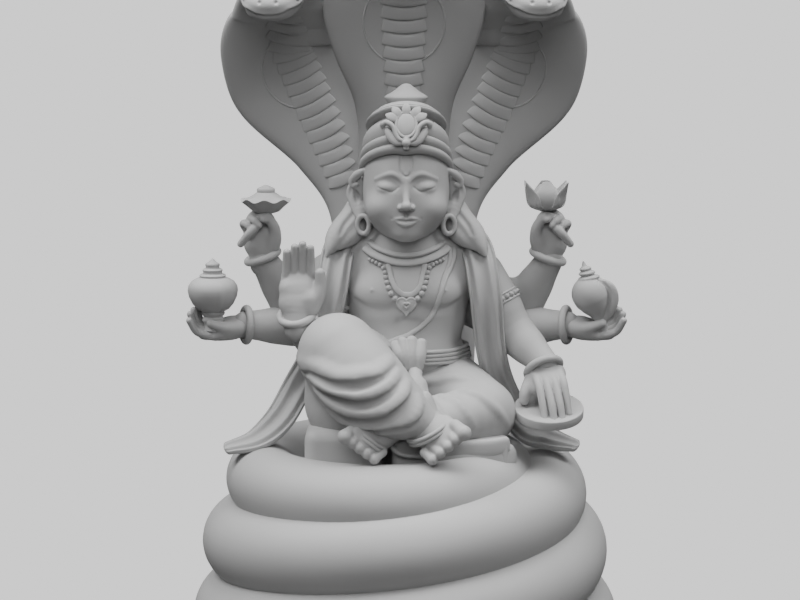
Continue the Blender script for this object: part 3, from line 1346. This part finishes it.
KNOT_PLEATS = [  # across at the top and the foot, their heights, and the half width
    (-9, -2, 354, 338, 4.5), (-1.5, 3, 357, 333, 5), (7.5, 8.5, 357.5, 331, 5.6), (17, 14.5, 355, 333, 5.4),
]


def knot():
    clay = Clay((-30, -84, 308), (38, -28, 376), 0.8)
    clay.add(egg((5, -52, 346), (17, 13, 13)))
    for top_x, foot_x, top, foot, girth in KNOT_PLEATS:
        line = [(top_x, -57, top), ((top_x + foot_x) / 2, -63, (top + foot) / 2), (foot_x, -64, foot)]
        clay.add(roll(line, [girth, girth * 1.04, girth * 0.8]), blend=1)
    return clay.skin()


def arm_band(shoulder, elbow, _):
    """A row of beads between two thin rings."""
    centre = along([shoulder, elbow], [ARM_BAND_SHARE])[0]
    axis = unit(np.subtract(elbow, shoulder).astype(float))
    side = unit(np.cross(axis, (0, -1, 0)))
    front = np.cross(side, axis)
    rings = [ring(centre + axis * step, axis, ARM_BAND_REACH, 1.3) for step in (4, -4)]
    beads = [
        bead(centre + (side * math.cos(a) + front * math.sin(a)) * ARM_BAND_REACH, 2.9)
        for a in np.linspace(0, math.tau, 24, endpoint=False)
    ]
    return [*rings, *beads]


worn = [
    strand(COLLAR, 0.2, 4.2, 2, facing=(0, -0.8, 0.6)),
    strand(NECK_BAND, 0.2, 2.9, 1.9, facing=(0, -0.7, 0.7)),
    strand(BAND, 0.6, 2.8, 1.5),
    strand(CORD, 0.8, 2.7, 2.1),
    strand(
        [(x - CORD_APART + k * CORD_CLOSING, z) for k, (x, z) in enumerate(CORD[:7])], 0.6, 2, 1.7
    ),
    *string_of_beads(-1),
    *string_of_beads(1),
    pendant(),
    *(belt(height, 1.2, 2, 2.4) for height in BELT_HEIGHTS),
    knot(),
    *arm_band(*ARMS["resting"]),
    *arm_band(*ARMS["raised"]),
]
cast(together(worn), "ornaments")


# The emblems in the rear hands: a lotus dish and a lotus bud above, a lidded pot and a conch
# below, and the flat disc on which the front hand rests.
DISH = [
    (0, 0), (8, 0.3), (13, 2), (19, 7.5), (24.5, 12.6), (25.2, 13.4), (24, 14), (18, 15.4), (13.4, 18),
    (10, 20.4), (8.6, 21), (9, 22), (9, 24.2), (8, 25.2), (4.6, 26.8), (2, 28), (0, 28.4),
]
DISH_PLACE = (-137, 0, 477)
DISH_WAVE = 1.5
DISH_LOBES = 8
BUD = [(0, -1), (8, 0), (13, 5), (14, 11), (12, 20), (6, 26), (0, 27)]
BUD_PLACE = (141, 0, 480)
FRONT_PETAL = [(4, 1), (13, 6), (14.6, 17), (10, 28.5)]
SIDE_PETAL = [(4, 1), (13, 5), (17, 16), (23.6, 28)]
POT = [
    (0, 0), (9, 0), (10, 1.6), (9, 4), (9, 8.6), (10.6, 10.2), (11, 12), (10, 13.8), (9.4, 15), (11, 16.8),
    (11.8, 18.6), (11, 20.2), (12.8, 21), (16, 22.8), (20.4, 28), (23.8, 35), (25, 41.4), (24.2, 46),
    (21.4, 50.2), (17, 53), (12.6, 54.4), (12.8, 55), (13.2, 56.2), (12.2, 57.4), (9.6, 57.9), (9.2, 59.6),
    (9.7, 60.4), (10, 61.6), (9, 62.8), (7, 63.3), (6.6, 65), (7.1, 65.9), (7.3, 67.2), (6.4, 68.4),
    (4.2, 69.4), (2.2, 71.6), (0, 73.6),
]
POT_PLACE = (-190, -10, 360)
POT_RIDGE = -1.13  # where a low ridge runs down the pot's side, as an angle
DISC = [
    (0, 0), (33, 0), (33.8, 0.4), (34, 1), (34, 8.4), (33.7, 9), (33, 9.3), (31.6, 9.2), (31, 8.8),
    (30.4, 8.6), (0, 8.4),
]
DISC_PLACE = (141.5, -54, 284)
DISC_AXIS = (0, -0.28, 0.96)


def lotus_dish():
    """A shallow dish with a waved rim and a seed head in its middle."""
    bm = turned(DISH, steps=96)
    for corner in bm.verts:
        reach = math.hypot(corner.co.x, corner.co.y)
        lift = np.clip((reach - 12) / 13, 0, 1) ** 2
        corner.co.z += DISH_WAVE * lift * math.cos(DISH_LOBES * math.atan2(corner.co.y, corner.co.x))
    bm.transform(Matrix.Translation(DISH_PLACE))
    return bm


def lotus_bud():
    """Six broad petals close round a heart, and the tips of four lean out."""
    forms = [turned(BUD, BUD_PLACE, steps=32)]
    for turn in (-90, -30, 30, 90, 150, 210):
        out = np.array((math.cos(math.radians(turn)), math.sin(math.radians(turn)), 0))
        upright = abs(turn) == 90
        shape = FRONT_PETAL if upright else SIDE_PETAL
        petal = [np.array(BUD_PLACE) + out * reach + (0, 0, rise) for reach, rise in shape]
        wide = [6, 11, 11.6, 4.5] if upright else [6, 11.5, 11, 1.2]
        forms.append(tube(petal, wide, [2.2, 2.2, 2, 0.8], out, 24, 28))
    return together(forms)


def pot():
    """A round pot on a turned foot, with a stepped lid and a low ridge down one side."""
    bm = turned(POT, steps=96)
    for corner in bm.verts:
        away = math.atan2(corner.co.y, corner.co.x) - POT_RIDGE
        swell = 1 + 0.03 * math.exp(-((away / 0.12) ** 2)) * (20 < corner.co.z < 53)
        corner.co.x *= swell
        corner.co.y *= swell
    bm.transform(Matrix.Translation(POT_PLACE))
    return bm


def conch():
    """A shell that winds up to a short spire, with a flaring lip down one side."""
    clay = Clay((158, -44, 352), (222, 20, 440), 0.8)
    clay.add(egg((185, -12, 398), (18.6, 18, 18.4)))
    clay.add(roll([(189, -12, 391), (194, -12, 380), (198, -12, 362)], [15, 10, 4.5]), blend=6)
    for place, girth in (((183.4, -12, 414), 11), ((181.4, -12, 418.6), 8.4), ((179.8, -12, 422.8), 6)):
        clay.add(egg(place, (girth, girth, 2.9), (0, -10, 0)), blend=0.7)
    clay.add(roll([(179.4, -12, 422), (177.6, -12, 430)], [3.8, 1]), blend=1)
    lip = [(194, -16, 412), (203, -20, 406), (206.5, -20, 396), (205, -19, 385), (200.5, -16, 373)]
    clay.add(roll(lip, [2.4, 5, 6, 5.4, 3], [2, 2.6, 3, 2.8, 2.4], facing=(-0.3, -1, 0.1)), blend=1.5)
    groove = [(192, -24, 413), (200, -24, 406), (203, -24, 396), (201.5, -24, 385), (198, -24, 373)]
    clay.carve(roll(clay.met(groove, 0, 20), 1.7, steps=1), blend=1.5)
    return clay.skin()


cast(lotus_dish(), "lotus_dish")
cast(lotus_bud(), "lotus_bud")
cast(pot(), "pot")
cast(conch(), "conch")
cast(turned(DISC, DISC_PLACE, DISC_AXIS), "disc")
